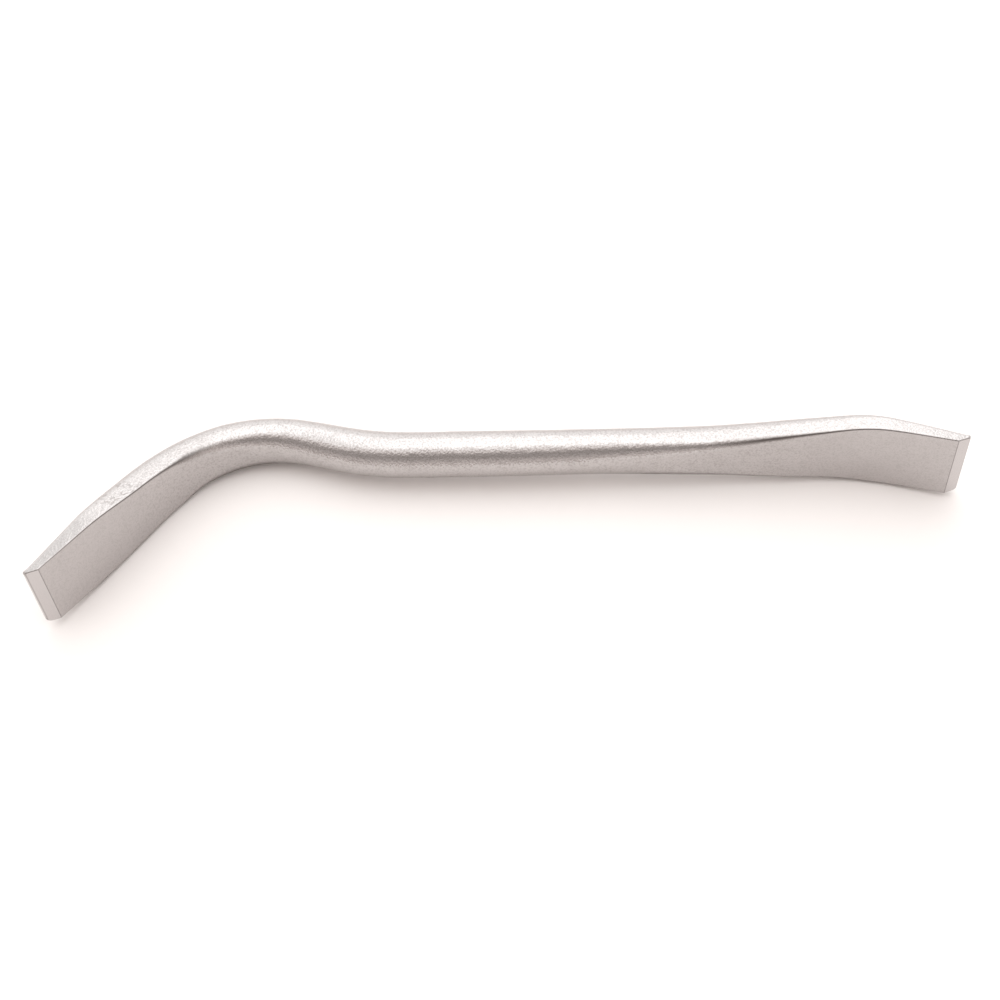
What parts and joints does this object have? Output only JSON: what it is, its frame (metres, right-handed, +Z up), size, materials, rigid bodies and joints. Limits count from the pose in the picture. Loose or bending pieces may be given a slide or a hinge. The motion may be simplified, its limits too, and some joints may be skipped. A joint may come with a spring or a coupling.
{
  "type": "tyre lever",
  "caption": "Forged steel tyre lever with a round grip, a cranked flat spoon at one end and a gently curved flat spoon at the other.",
  "frame": {"origin": "under the middle of the lever's box, on the surface that the lever lies on", "axes": "+X along the round grip towards the gently curved spoon, +Y towards the outside of both bends, +Z up; the lever lies at rest on its side, on one edge of each spoon and on the outside of the crank, so the width of the spoons leans back 8 degrees from +Z"},
  "size_m": [0.2328, 0.0574, 0.0227],
  "materials": {
    "plated_steel": "satin, bead-blasted and plated"
  },
  "bodies": {
    "root": {"forged_lever": "plated_steel"}
  },
  "joints": []
}
